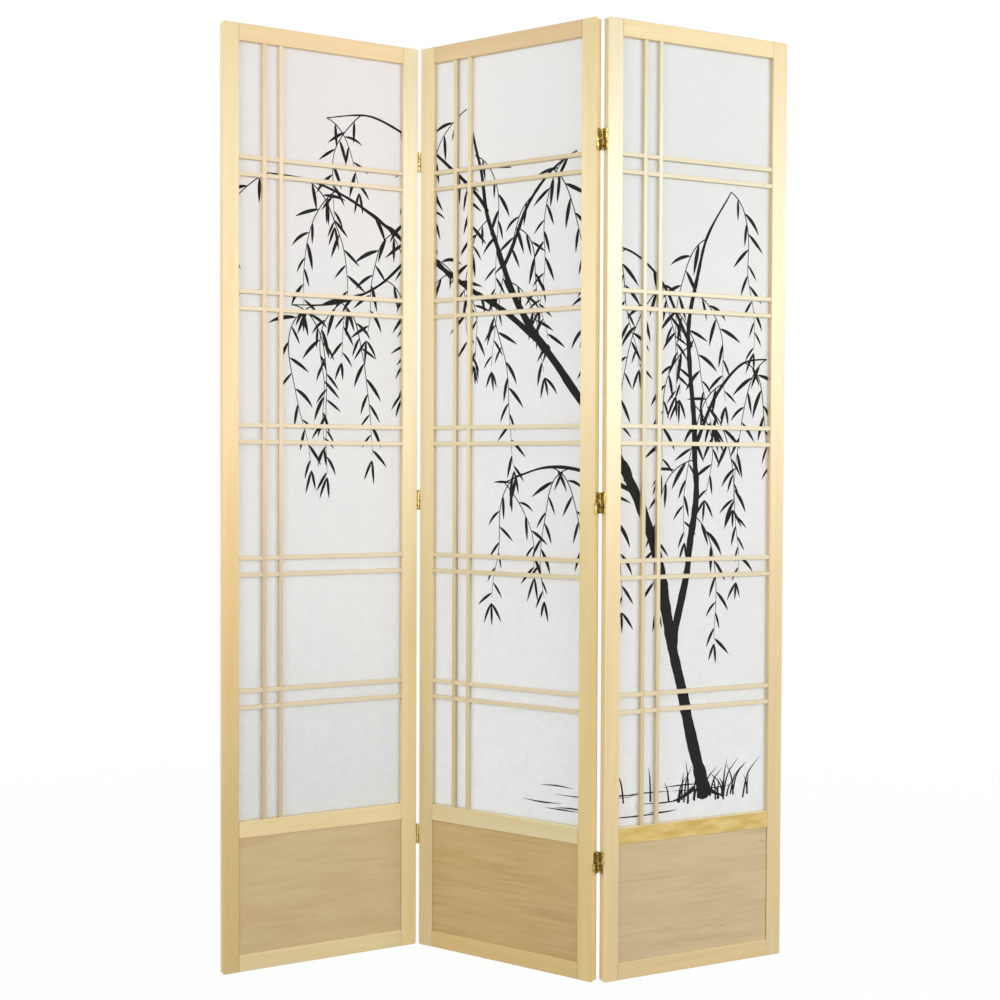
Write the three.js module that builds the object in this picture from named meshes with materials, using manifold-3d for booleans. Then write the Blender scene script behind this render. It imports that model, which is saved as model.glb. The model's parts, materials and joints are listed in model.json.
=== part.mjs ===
// A three-panel folding room screen: softwood frames, a cross-lapped lath lattice over
// paper, a plywood kick board below, and double-acting hinges that let each joint fold
// to either side. Millimetres, +Z up, origin on the floor under the middle of the screen.

import * as THREE from 'three';
import { mergeVertices } from 'three/addons/utils/BufferGeometryUtils.js';
import Module from 'manifold-3d';

// ---- Driving dimensions ------------------------------------------------------------

// Panel frame
const panelWidth = 475;
const panelHeight = 2134;
const panelThickness = 19;
const stileWidth = 38;
const topRailHeight = 38;
const middleRailHeight = 38;
const bottomRailHeight = 38;
const kickOpeningHeight = 266;
const cornerRadius = 5;
const arrisRadius = 1.2;

// Joinery
const tenonLength = 24;
const tenonThickness = 6;
const tenonShoulder = 6;
const mortiseEndRoom = 1;
const fitGap = 0.3;
const cutRunout = 1;

// Kick board
const kickBoardThickness = 4;
const kickBoardSetback = 3.5;
const grooveDepth = 7;

// Lattice and paper
const lathWidth = 9.5;
const lathDepth = 10.5;
const lathSetback = 1.5;
const crossbarPairGap = 28.5;
const uprightPairGap = 30;
const edgeLaneWidth = 55;
const crossbarPairs = 5;
const paperThickness = 0.5;
const rebateWidth = 6;

// Hinges
const hingeHeight = 48;
const hingeInset = 266;
const hingeGap = 6.5;
const barrelProud = 1;
const leafThickness = 1.2;
const linkThickness = 1.3;
const pinRadius = 1.3;
const endKnuckleHeight = 6;
const screwRadius = 1.8;
const countersinkRadius = 3.4;
const screwSpacing = 26;
const drillRunout = 0.02;

// How the screen stands: degrees, each fold measured from flat
const centreTurn = -30;
const leftFold = 60;
const rightFold = 57.5;

// Facets in a full circle
const arrisFacets = 12;
const cornerFacets = 32;
const barrelFacets = 12;
const boreFacets = 8;

// ---- Sizes that follow ---------------------------------------------------------------

const openingLeft = stileWidth;
const openingRight = panelWidth - stileWidth;
const kickBottom = bottomRailHeight;
const kickTop = kickBottom + kickOpeningHeight;
const latticeBottom = kickTop + middleRailHeight;
const latticeTop = panelHeight - topRailHeight;
const pairHeight = 2 * lathWidth + crossbarPairGap;
const paneCount = crossbarPairs + 1;
const paneHeight = (latticeTop - latticeBottom - crossbarPairs * pairHeight) / paneCount;
const recessDepth = lathSetback + lathDepth;
const middleDepth = panelThickness / 2;
const barrelRadius = hingeGap / 2 - fitGap;
const frontAxis = -barrelProud;
const backAxis = panelThickness + barrelProud;

// ---- Solids --------------------------------------------------------------------------

const wasm = await Module();
wasm.setup();

function toSolid(geometry) {
  geometry.deleteAttribute('normal');
  geometry.deleteAttribute('uv');
  const merged = mergeVertices(geometry, 1e-4);
  const vertProperties = Float32Array.from(merged.attributes.position.array);
  const triVerts = Uint32Array.from(merged.index.array);
  return new wasm.Manifold(new wasm.Mesh({ numProp: 3, vertProperties, triVerts }));
}

function toGeometry(solid) {
  const mesh = solid.getMesh();
  const geometry = new THREE.BufferGeometry();
  geometry.setAttribute('position', new THREE.BufferAttribute(mesh.vertProperties, 3));
  geometry.setIndex(new THREE.BufferAttribute(mesh.triVerts, 1));
  geometry.computeVertexNormals();
  return geometry;
}

function block(x, y, z) {
  const geometry = new THREE.BoxGeometry(x[1] - x[0], y[1] - y[0], z[1] - z[0]);
  geometry.translate((x[0] + x[1]) / 2, (y[0] + y[1]) / 2, (z[0] + z[1]) / 2);
  return toSolid(geometry);
}

function roundedRectangle(a, b, radii) {
  const [lowLeft, lowRight, highRight, highLeft] = radii;
  const shape = new THREE.Shape();
  shape.moveTo(a[0] + lowLeft, b[0]);
  shape.lineTo(a[1] - lowRight, b[0]);
  if (lowRight > 0) shape.absarc(a[1] - lowRight, b[0] + lowRight, lowRight, -Math.PI / 2, 0);
  shape.lineTo(a[1], b[1] - highRight);
  if (highRight > 0) shape.absarc(a[1] - highRight, b[1] - highRight, highRight, 0, Math.PI / 2);
  shape.lineTo(a[0] + highLeft, b[1]);
  if (highLeft > 0) shape.absarc(a[0] + highLeft, b[1] - highLeft, highLeft, Math.PI / 2, Math.PI);
  shape.lineTo(a[0], b[0] + lowLeft);
  if (lowLeft > 0) shape.absarc(a[0] + lowLeft, b[0] + lowLeft, lowLeft, Math.PI, Math.PI * 1.5);
  return shape;
}

function extruded(shape, depth, facets) {
  return new THREE.ExtrudeGeometry(shape, { depth, bevelEnabled: false, curveSegments: facets / 4 });
}

// A plan outline in X and Y, raised from z[0] to z[1].
function raised(shape, z, facets) {
  const geometry = extruded(shape, z[1] - z[0], facets);
  geometry.translate(0, 0, z[0]);
  return toSolid(geometry);
}

// A front outline in X and Z, given depth from y[0] to y[1].
function thickened(shape, y, facets) {
  const geometry = extruded(shape, y[1] - y[0], facets);
  geometry.rotateX(Math.PI / 2);
  geometry.translate(0, y[1], 0);
  return toSolid(geometry);
}

// A side outline in Y and Z, run along X from x[0] to x[1].
function runAlong(shape, x, facets) {
  const geometry = extruded(shape, x[1] - x[0], facets);
  geometry.rotateZ(Math.PI / 2);
  geometry.rotateY(Math.PI / 2);
  geometry.translate(x[0], 0, 0);
  return toSolid(geometry);
}

function rod(y, radius, z, facets) {
  const geometry = new THREE.CylinderGeometry(radius, radius, z[1] - z[0], facets);
  geometry.rotateX(Math.PI / 2);
  geometry.translate(0, y, (z[0] + z[1]) / 2);
  return toSolid(geometry);
}

// ---- Materials -----------------------------------------------------------------------

function spruce() {
  return new THREE.MeshStandardMaterial({ color: 0xf3dcb0, roughness: 0.55, metalness: 0 });
}

function plywood() {
  return new THREE.MeshStandardMaterial({ color: 0xd9b98a, roughness: 0.6, metalness: 0 });
}

function paper() {
  return new THREE.MeshStandardMaterial({ color: 0xecebe8, roughness: 0.9, metalness: 0 });
}

function brass() {
  return new THREE.MeshStandardMaterial({ color: 0xc9a24a, roughness: 0.3, metalness: 1 });
}

function named(name, solid, material) {
  const mesh = new THREE.Mesh(toGeometry(solid), material);
  mesh.name = name;
  return mesh;
}

// ---- Frame pieces, in the panel's own axes -------------------------------------------
// X runs along the panel from its left edge, Y from its front face to its back, Z up.

const railHeights = {
  top: [latticeTop, panelHeight],
  middle: [kickTop, latticeBottom],
  bottom: [0, kickBottom],
};

const tenonDepth = [middleDepth - tenonThickness / 2, middleDepth + tenonThickness / 2];
const boardDepth = [kickBoardSetback, kickBoardSetback + kickBoardThickness];
const groove = grown(boardDepth, fitGap);
const rebate = [recessDepth, panelThickness + cutRunout];
const railReach = [openingLeft - tenonLength, openingRight + tenonLength];

function grown(range, amount) {
  return [range[0] - amount, range[1] + amount];
}

// The left stile: the right one is its mirror image. Its outer corners are rounded, its
// inner face is mortised for three rails, grooved for the kick board and rebated behind.
function stile() {
  const long = arrisRadius;
  const plan = roundedRectangle([0, stileWidth], [0, panelThickness], [long, long, long, long]);
  const outline = roundedRectangle([0, stileWidth], [0, panelHeight], [cornerRadius, 0, 0, cornerRadius]);
  const height = [0, panelHeight];
  let solid = raised(plan, height, arrisFacets);
  solid = solid.intersect(thickened(outline, [0, panelThickness], cornerFacets));

  const inner = stileWidth + cutRunout;
  const mortise = [stileWidth - tenonLength - mortiseEndRoom, inner];
  for (const rail of Object.values(railHeights)) {
    const tenon = grown(rail, fitGap - tenonShoulder);
    solid = solid.subtract(block(mortise, grown(tenonDepth, fitGap), tenon));
  }
  const grooveRun = grown([kickBottom, kickTop], grooveDepth);
  solid = solid.subtract(block([stileWidth - grooveDepth, inner], groove, grooveRun));
  const rebateRun = grown([latticeBottom, latticeTop], rebateWidth);
  return solid.subtract(block([stileWidth - rebateWidth, inner], rebate, rebateRun));
}

function rail(range) {
  const long = arrisRadius;
  const section = roundedRectangle([0, panelThickness], range, [long, long, long, long]);
  const body = runAlong(section, grown([openingLeft, openingRight], -fitGap), arrisFacets);
  return body.add(block(railReach, tenonDepth, grown(range, -tenonShoulder)));
}

function topRail() {
  const across = [openingLeft, openingRight];
  const cut = block(across, rebate, [latticeTop - cutRunout, latticeTop + rebateWidth]);
  return rail(railHeights.top).subtract(cut);
}

function middleRail() {
  const across = [openingLeft, openingRight];
  const rebated = block(across, rebate, [latticeBottom - rebateWidth, latticeBottom + cutRunout]);
  const grooved = block(railReach, groove, [kickTop - cutRunout, kickTop + grooveDepth]);
  return rail(railHeights.middle).subtract(rebated).subtract(grooved);
}

function bottomRail() {
  const grooved = block(railReach, groove, [kickBottom - grooveDepth, kickBottom + cutRunout]);
  return rail(railHeights.bottom).subtract(grooved);
}

function kickBoard() {
  const tongue = grooveDepth - fitGap;
  const across = grown([openingLeft, openingRight], tongue);
  const up = grown([kickBottom, kickTop], tongue);
  return block(across, boardDepth, up);
}

// ---- Lattice and paper ---------------------------------------------------------------
// Uprights and crossbars are cross-lapped: each upright gives up its back half at every
// crossing and each crossbar its front half, so that all the faces lie flush.

function lattice() {
  const depth = [lathSetback, recessDepth];
  const halfDepth = (depth[0] + depth[1]) / 2;
  const frontHalf = [depth[0] - cutRunout, halfDepth];
  const backHalf = [halfDepth, depth[1] + cutRunout];
  const run = grown([openingLeft, openingRight], -fitGap);
  const rise = grown([latticeBottom, latticeTop], -fitGap);

  const uprights = [];
  for (let i = 0; i < 2; i++) {
    const left = openingLeft + edgeLaneWidth + i * (lathWidth + uprightPairGap);
    uprights.push([left, left + lathWidth]);
  }
  const crossbars = [];
  for (let pair = 0; pair < crossbarPairs; pair++) {
    const low = latticeBottom + paneHeight + pair * (pairHeight + paneHeight);
    crossbars.push([low, low + lathWidth]);
    crossbars.push([low + lathWidth + crossbarPairGap, low + pairHeight]);
  }

  const laths = [];
  for (const across of uprights) {
    let lath = block(across, depth, rise);
    for (const up of crossbars) {
      lath = lath.subtract(block(grown(across, cutRunout), backHalf, up));
    }
    laths.push(lath);
  }
  for (const up of crossbars) {
    let lath = block(run, depth, up);
    for (const across of uprights) {
      lath = lath.subtract(block(across, frontHalf, grown(up, cutRunout)));
    }
    laths.push(lath);
  }
  return laths.reduce((joined, lath) => joined.add(lath));
}

function paperSheet() {
  const margin = rebateWidth - fitGap;
  const across = grown([openingLeft, openingRight], margin);
  const up = grown([latticeBottom, latticeTop], margin);
  const front = recessDepth + fitGap;
  return block(across, [front, front + paperThickness], up);
}

// ---- Double-acting hinge -------------------------------------------------------------
// X is measured from the middle of the gap between two panels, Y from their front faces,
// Z from the foot of the hinge. Two barrels stand one above the other at the front and
// two at the back. The upper link joins the right leaf's front barrel to the left leaf's
// back barrel, and the lower link joins the left leaf's front barrel to the right leaf's
// back barrel. Folding forwards turns both links about the front barrels and folding
// backwards turns both about the back ones, so neither line of pins has to part.

const halfHeight = hingeHeight / 2;
const leafEdge = barrelRadius + fitGap - barrelProud;

function hingeHalf(upper) {
  const low = upper ? halfHeight : 0;
  return [low + fitGap / 2, low + halfHeight - fitGap / 2];
}

function knuckle(upper) {
  return grown(hingeHalf(upper), -endKnuckleHeight - fitGap);
}

// side is -1 for the leaf on the left-hand panel and +1 for the one on the right.
function leaf(side) {
  const outer = side * barrelRadius;
  const inner = side * (barrelRadius - leafThickness);
  const across = [Math.min(outer, inner), Math.max(outer, inner)];
  let solid = block(across, [leafEdge, panelThickness - leafEdge], [0, hingeHeight]);

  const frontIsUpper = side > 0;
  const wingFoot = leafEdge + leafThickness;
  const barrels = [
    { y: frontAxis, wing: [frontAxis, wingFoot], height: knuckle(frontIsUpper) },
    { y: backAxis, wing: [panelThickness - wingFoot, backAxis], height: knuckle(!frontIsUpper) },
  ];
  for (const { y, wing, height } of barrels) {
    solid = solid.add(block(across, wing, height)).add(rod(y, barrelRadius, height, barrelFacets));
    solid = solid.subtract(rod(y, pinRadius + fitGap, grown(height, cutRunout), boreFacets));
  }
  return drilled(solid, side, across);
}

// Two countersunk holes through a leaf, open towards the link.
function drilled(leafSolid, side, across) {
  let solid = leafSolid;
  const drillLength = across[1] - across[0] + drillRunout;
  const middle = (across[0] + across[1]) / 2;
  for (const up of [-1, 1]) {
    const flare = [countersinkRadius, screwRadius];
    if (side < 0) flare.reverse();
    const cone = new THREE.CylinderGeometry(flare[1], flare[0], drillLength, boreFacets);
    cone.rotateZ(-Math.PI / 2);
    cone.translate(middle, middleDepth, halfHeight + up * screwSpacing / 2);
    solid = solid.subtract(toSolid(cone));
  }
  return solid;
}

function link(upper) {
  const height = hingeHalf(upper);
  const web = [-linkThickness / 2, linkThickness / 2];
  const notch = grown(knuckle(upper), fitGap);
  let solid = block(web, [frontAxis, backAxis], height);
  for (const y of [frontAxis, backAxis]) {
    solid = solid.subtract(block(grown(web, cutRunout), grown([y, y], barrelRadius + fitGap), notch));
    for (const end of [[height[0], notch[0]], [notch[1], height[1]]]) {
      solid = solid.add(rod(y, barrelRadius, end, barrelFacets));
    }
    solid = solid.add(rod(y, pinRadius, height, boreFacets));
  }
  return solid;
}

// ---- Assembly ------------------------------------------------------------------------

function buildPanel(name) {
  const panel = new THREE.Group();
  panel.add(named(`${name}_panel_left_stile`, stile(), spruce()));
  const mirrored = stile().mirror([1, 0, 0]).translate([panelWidth, 0, 0]);
  panel.add(named(`${name}_panel_right_stile`, mirrored, spruce()));
  panel.add(named(`${name}_panel_top_rail`, topRail(), spruce()));
  panel.add(named(`${name}_panel_middle_rail`, middleRail(), spruce()));
  panel.add(named(`${name}_panel_bottom_rail`, bottomRail(), spruce()));
  panel.add(named(`${name}_panel_kick_board`, kickBoard(), plywood()));
  panel.add(named(`${name}_panel_lattice`, lattice(), spruce()));
  panel.add(named(`${name}_panel_paper`, paperSheet(), paper()));
  return panel;
}

const hingeFeet = {
  bottom: hingeInset - halfHeight,
  centre: panelHeight / 2 - halfHeight,
  top: panelHeight - hingeInset - halfHeight,
};

// Adds one piece of each hinge of a joint to the panel that carries it.
function addHingePieces(panel, joint, piece, solid, gapMiddle) {
  for (const [level, foot] of Object.entries(hingeFeet)) {
    const mesh = named(`${joint}_hinge_${level}_${piece}`, solid, brass());
    mesh.position.set(gapMiddle, 0, foot);
    panel.add(mesh);
  }
}

function pivoted(panel, axisInPanel, axisInParent, fold) {
  const pivot = new THREE.Group();
  pivot.position.set(axisInParent[0], axisInParent[1], 0);
  pivot.rotation.z = THREE.MathUtils.degToRad(fold);
  panel.position.set(-axisInPanel[0], -axisInPanel[1], 0);
  pivot.add(panel);
  return pivot;
}

const gapOnLeft = -hingeGap / 2;
const gapOnRight = panelWidth + hingeGap / 2;

const centrePanel = buildPanel('centre');
const leftPanel = buildPanel('left');
const rightPanel = buildPanel('right');

// The left joint folds about its front barrels: the upper links go with the left panel.
addHingePieces(leftPanel, 'left', 'left_leaf', leaf(-1), gapOnRight);
addHingePieces(leftPanel, 'left', 'upper_link', link(true), gapOnRight);
addHingePieces(centrePanel, 'left', 'right_leaf', leaf(1), gapOnLeft);
addHingePieces(centrePanel, 'left', 'lower_link', link(false), gapOnLeft);

// The right joint folds about its back barrels: the upper links go with the right panel.
addHingePieces(centrePanel, 'right', 'left_leaf', leaf(-1), gapOnRight);
addHingePieces(centrePanel, 'right', 'lower_link', link(false), gapOnRight);
addHingePieces(rightPanel, 'right', 'right_leaf', leaf(1), gapOnLeft);
addHingePieces(rightPanel, 'right', 'upper_link', link(true), gapOnLeft);

centrePanel.add(pivoted(leftPanel, [gapOnRight, frontAxis], [gapOnLeft, frontAxis], leftFold));
centrePanel.add(pivoted(rightPanel, [gapOnLeft, backAxis], [gapOnRight, backAxis], rightFold));
centrePanel.rotation.z = THREE.MathUtils.degToRad(centreTurn);

// Stand the screen with its footprint centred on the origin.
const screen = new THREE.Group();
screen.add(centrePanel);
screen.updateMatrixWorld(true);
const footprint = new THREE.Box3().setFromObject(screen, true);
const middle = footprint.getCenter(new THREE.Vector3());
screen.position.set(-middle.x, -middle.y, -footprint.min.z);

export default screen;
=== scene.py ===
import json
import math
import random

import bmesh
import bpy
from mathutils import Matrix, Vector, noise


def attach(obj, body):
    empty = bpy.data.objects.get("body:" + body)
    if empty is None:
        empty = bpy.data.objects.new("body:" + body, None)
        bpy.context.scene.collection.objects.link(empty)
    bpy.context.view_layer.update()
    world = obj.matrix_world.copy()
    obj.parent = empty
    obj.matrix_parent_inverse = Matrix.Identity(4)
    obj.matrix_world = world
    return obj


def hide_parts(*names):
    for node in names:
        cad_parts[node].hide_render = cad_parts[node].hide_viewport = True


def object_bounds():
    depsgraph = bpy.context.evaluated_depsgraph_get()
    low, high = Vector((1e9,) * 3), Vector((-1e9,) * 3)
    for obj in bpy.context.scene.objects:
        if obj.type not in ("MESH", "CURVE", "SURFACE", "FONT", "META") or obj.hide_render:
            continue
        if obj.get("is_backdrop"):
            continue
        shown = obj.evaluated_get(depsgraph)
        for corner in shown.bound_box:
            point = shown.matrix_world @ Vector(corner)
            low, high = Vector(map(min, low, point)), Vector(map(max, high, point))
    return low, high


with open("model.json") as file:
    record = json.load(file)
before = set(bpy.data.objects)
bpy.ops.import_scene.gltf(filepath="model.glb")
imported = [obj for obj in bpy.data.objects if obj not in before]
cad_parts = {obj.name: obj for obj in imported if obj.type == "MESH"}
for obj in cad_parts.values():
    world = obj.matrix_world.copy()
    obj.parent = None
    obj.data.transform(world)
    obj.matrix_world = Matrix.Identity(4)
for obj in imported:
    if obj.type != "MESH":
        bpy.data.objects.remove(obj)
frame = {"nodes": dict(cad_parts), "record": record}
cad_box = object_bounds()

# ---- Camera --------------------------------------------------------------------------
# A 51.5 mm lens on a full-frame body, a little right of the screen's middle and just above
# half its height, looking very slightly down. Its turns are in degrees.

scene = bpy.context.scene
scene.view_settings.view_transform = "Standard"

focal_length = 51.5
film_width = 36.0
camera_stand = (0.1319, -3.2894, 1.1449)
camera_pan = 2.620
camera_dip = 1.305
camera_roll = 0.234

lens = bpy.data.cameras.new("camera")
lens.lens = focal_length
lens.sensor_width = film_width
camera = bpy.data.objects.new("camera", lens)
camera.matrix_world = (
    Matrix.Translation(camera_stand)
    @ Matrix.Rotation(math.radians(camera_pan), 4, "Z")
    @ Matrix.Rotation(math.radians(90 - camera_dip), 4, "X")
    @ Matrix.Rotation(math.radians(camera_roll), 4, "Z")
)
scene.collection.objects.link(camera)
scene.camera = camera

# ---- Studio --------------------------------------------------------------------------
# A pale seamless floor in a white room. Broad soft windows stand on both sides, stronger on
# the right, and one behind lights the backs and glows through the paper.


def linear(code):
    """The linear colour of an sRGB hex value."""
    parts = [int(code[i:i + 2], 16) / 255 for i in (1, 3, 5)]
    return (*[p / 12.92 if p <= 0.04045 else ((p + 0.055) / 1.055) ** 2.4 for p in parts], 1.0)


def add_node(tree, kind, inputs=(), **settings):
    """Adds a node. Inputs are pairs of a socket's name or number and a value or an output."""
    node = tree.nodes.new(kind)
    for name, value in settings.items():
        setattr(node, name, value)
    for key, value in inputs:
        if isinstance(value, bpy.types.NodeSocket):
            tree.links.new(value, node.inputs[key])
        else:
            node.inputs[key].default_value = value
    return node


def background_rays(tree):
    """1 for the rays that see the background: the camera's, mirrored and passing ones."""
    path = add_node(tree, "ShaderNodeLightPath")
    seen = path.outputs["Is Camera Ray"]
    for kind in ("Is Glossy Ray", "Is Transmission Ray"):
        both = [(0, seen), (1, path.outputs[kind])]
        seen = add_node(tree, "ShaderNodeMath", both, operation="MAXIMUM").outputs[0]
    return seen


room_light = 0.26
floor_radius = 7.0
floor_shine_through = 0.96
floor_fade_start, floor_fade_end = 1.2, 3.5

world = bpy.data.worlds.new("white room")
world.use_nodes = True
scene.world = world
tree = world.node_tree
strength = [(0, background_rays(tree)), (1, 1 - room_light), (2, room_light)]
strength = add_node(tree, "ShaderNodeMath", strength, operation="MULTIPLY_ADD")
tree.nodes["Background"].inputs["Color"].default_value = (1, 1, 1, 1)
tree.links.new(strength.outputs[0], tree.nodes["Background"].inputs["Strength"])

floor_mesh = bpy.data.meshes.new("floor")
shape = bmesh.new()
bmesh.ops.create_circle(shape, cap_ends=True, segments=96, radius=floor_radius)
shape.to_mesh(floor_mesh)
shape.free()
floor = bpy.data.objects.new("floor", floor_mesh)
scene.collection.objects.link(floor)
floor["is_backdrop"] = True


def white_paint(name):
    """Matt white paint: it takes the screen's faint soft shadow, and fades into the white
    room where the floor ends."""
    material = bpy.data.materials.new(name)
    material.use_nodes = True
    tree = material.node_tree
    tree.nodes.clear()
    seen = background_rays(tree)
    place = add_node(tree, "ShaderNodeTexCoord").outputs["Object"]
    reach = add_node(tree, "ShaderNodeVectorMath", [(0, place)], operation="LENGTH")
    edge = [("Value", reach.outputs["Value"]), ("From Min", floor_fade_start)]
    edge += [("From Max", floor_fade_end), ("To Min", floor_shine_through), ("To Max", 1.0)]
    edge = add_node(tree, "ShaderNodeMapRange", edge, interpolation_type="SMOOTHSTEP")
    share = [(0, seen), (1, edge.outputs["Result"])]
    share = add_node(tree, "ShaderNodeMath", share, operation="MULTIPLY")
    tone = [("Factor", seen), (6, linear("#B6B5B3")), (7, linear("#F4F4F2"))]
    tone = add_node(tree, "ShaderNodeMix", tone, data_type="RGBA")
    paint = add_node(tree, "ShaderNodeBsdfDiffuse", [("Color", tone.outputs[2])])
    white = add_node(tree, "ShaderNodeEmission", [("Strength", 1.0)])
    ground = [(0, share.outputs[0]), (1, paint.outputs[0]), (2, white.outputs[0])]
    ground = add_node(tree, "ShaderNodeMixShader", ground)
    add_node(tree, "ShaderNodeOutputMaterial", [("Surface", ground.outputs[0])])
    return material


floor.data.materials.append(white_paint("matt white floor paint"))


def window(name, wide, high, watts, position, aim):
    """A soft rectangular light that faces a point. Its sizes and place are in metres."""
    light = bpy.data.lights.new(name, "AREA")
    light.shape = "RECTANGLE"
    light.size = wide
    light.size_y = high
    light.energy = watts
    lamp = bpy.data.objects.new(name, light)
    lamp.location = position
    facing = Vector(aim) - Vector(position)
    lamp.rotation_euler = facing.to_track_quat("-Z", "Y").to_euler()
    scene.collection.objects.link(lamp)


window("window_right", 2.0, 2.0, 162, (5.63, -3.25, 2.30), (0.0, 0.0, 1.4))
window("window_right_front", 1.4, 1.4, 31, (2.55, -2.55, 1.90), (0.0, 0.0, 1.4))
window("window_left_front", 1.4, 1.4, 39, (-1.70, -2.94, 1.90), (0.0, 0.0, 1.4))
window("window_left", 1.4, 1.4, 58, (-3.97, -2.11, 2.00), (0.0, 0.0, 1.4))
window("window_behind", 2.4, 1.4, 50, (0.20, 3.00, 2.40), (0.0, 0.0, 1.2))

# ---- Frames --------------------------------------------------------------------------
# Each panel's frame is five planed spruce boards, 19 mm thick: two stiles from top to
# bottom and three rails tenoned between them. They carry a clear satin lacquer.

panels = ("left", "centre", "right")
panel_width = 0.475
stile_width = 0.038


def panel_place(name):
    """Where a panel stands: X runs along it, Y to its back, Z up, from its front left foot."""
    sheet = frame["nodes"][f"{name}_panel_paper"].data
    widest = max(sheet.polygons, key=lambda face: face.area).normal
    along = Vector((widest.y, -widest.x, 0)).normalized()
    if along.x < 0:
        along = -along
    back = Vector((-along.y, along.x, 0))
    stile = frame["nodes"][f"{name}_panel_left_stile"].data
    left = min(vertex.co.dot(along) for vertex in stile.vertices)
    front = min(vertex.co.dot(back) for vertex in stile.vertices)
    corner = left * along + front * back
    return Matrix.Translation(corner) @ Matrix.Rotation(math.atan2(along.y, along.x), 4, "Z")


places = {name: panel_place(name) for name in panels}


def new_material(name, **sockets):
    """A material with its uniform values set on the shader's own sockets."""
    material = bpy.data.materials.new(name)
    material.use_nodes = True
    shader = material.node_tree.nodes["Principled BSDF"]
    for socket, value in sockets.items():
        shader.inputs[socket.replace("_", " ")].default_value = value
    return material, material.node_tree, shader


def panel_vector(tree, place, along_x, offset):
    """Coordinates on a board: X and Y across the grain and Z along it, in metres."""
    point = add_node(tree, "ShaderNodeTexCoord").outputs["Object"]
    turn = (0, 0, place.to_euler().z)
    stand = [("Vector", point), ("Location", place.translation), ("Rotation", turn)]
    stand = add_node(tree, "ShaderNodeMapping", stand, vector_type="TEXTURE")
    lie = (0, math.radians(90 if along_x else 0), 0)
    log = [("Vector", stand.outputs[0]), ("Location", offset), ("Rotation", lie)]
    return add_node(tree, "ShaderNodeMapping", log).outputs[0]


# Heights between which a board's tones drift, as painted light and shade over its height.
board_shade_heights = ((0.35, 0.95), (1.45, 1.85))


def tone_with_painted_shade(tree, tones, drifts=board_shade_heights):
    """One tone, or three that drift into each other from a panel's foot over its middle to
    its head. The drift is painted light and shade that changes with height. The drifts are
    the heights between which they do."""
    foot, *higher = [linear(tone) for tone in tones.split()]
    pale = foot
    if higher:
        height = add_node(tree, "ShaderNodeTexCoord").outputs["Object"]
        height = add_node(tree, "ShaderNodeSeparateXYZ", [(0, height)]).outputs[2]
        for tone, (low, high) in zip(higher, drifts):
            share = [("Value", height), ("From Min", low), ("From Max", high)]
            share = add_node(tree, "ShaderNodeMapRange", share, interpolation_type="SMOOTHSTEP")
            pale = [("Factor", share.outputs[0]), (6, pale), (7, tone)]
            pale = add_node(tree, "ShaderNodeMix", pale, data_type="RGBA").outputs[2]
    return pale if higher else foot[:3]


def grain_noise(tree, vector, scale, **settings):
    """Clouds stretched along the grain. The scale is how many a metre holds on each axis."""
    point = [(0, vector), (1, scale)]
    point = add_node(tree, "ShaderNodeVectorMath", point, operation="MULTIPLY").outputs[0]
    point = [("Vector", point), ("Scale", 1.0), *settings.items()]
    return add_node(tree, "ShaderNodeTexNoise", point).outputs


ring_scale = (110, 110, 0.9)
fibre_scale = (420, 420, 6)
shade_scale = (30, 30, 2.2)
wander_scale = (9, 9, 1.1)
wander = (0.06, 0.06, 0)
darkest_grain = (0.84, 0.77, 0.60, 1)
knot_scale = (26, 26, 9)
knot_strength = 0.5


def pin_knots(tree, vector, tone, share):
    """Small brown knots, up to 9 mm wide and drawn out along the grain, in a share of the
    cells of a pattern 38 mm wide."""
    spot = [(0, vector), (1, knot_scale)]
    spot = add_node(tree, "ShaderNodeVectorMath", spot, operation="MULTIPLY").outputs[0]
    spot = add_node(tree, "ShaderNodeTexVoronoi", [("Vector", spot), ("Scale", 1.0)])
    core = [("Value", spot.outputs["Distance"]), ("From Min", 0.12), ("From Max", 0.05)]
    core = add_node(tree, "ShaderNodeMapRange", core).outputs[0]
    rare = [(0, spot.outputs["Color"]), (1, 1 - share)]
    rare = add_node(tree, "ShaderNodeMath", rare, operation="GREATER_THAN").outputs[0]
    for factor in (rare, knot_strength):
        core = [(0, core), (1, factor)]
        core = add_node(tree, "ShaderNodeMath", core, operation="MULTIPLY").outputs[0]
    tone = [("Factor", core), (6, tone), (7, linear("#A97C43"))]
    return add_node(tree, "ShaderNodeMix", tone, data_type="RGBA").outputs[2]


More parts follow.
